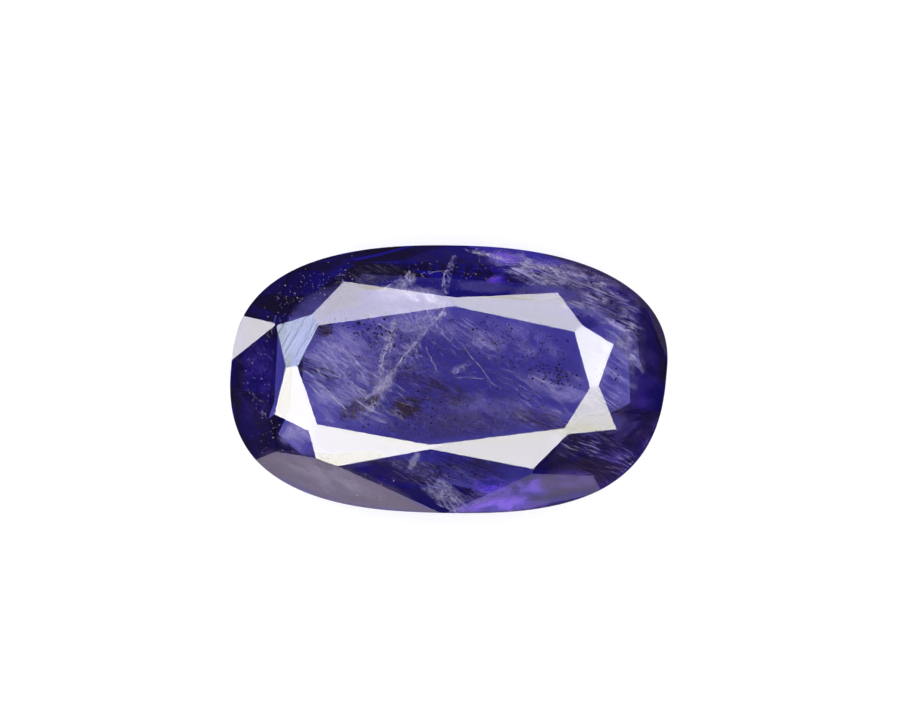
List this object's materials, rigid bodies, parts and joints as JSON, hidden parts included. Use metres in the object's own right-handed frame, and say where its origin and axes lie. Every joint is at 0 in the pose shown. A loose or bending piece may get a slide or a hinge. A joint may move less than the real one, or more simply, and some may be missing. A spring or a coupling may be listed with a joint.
{
  "type": "iolite gemstone",
  "caption": "Loose faceted iolite, a see-through violet-blue oval cushion with a broad table, bevelled crown and shallow pavilion, for setting in jewellery or display.",
  "frame": {"origin": "centre of the stone's outline at the level of its flat culet, the face that it rests on", "axes": "+Z out of the table, +X along the long axis of the oval, +Y across it"},
  "size_m": [0.016, 0.0098, 0.0058],
  "materials": {
    "iolite": "polished see-through violet-blue crystal with grown-in fractures, fibres and specks"
  },
  "bodies": {
    "root": {"iolite_gemstone": "iolite"}
  },
  "joints": []
}
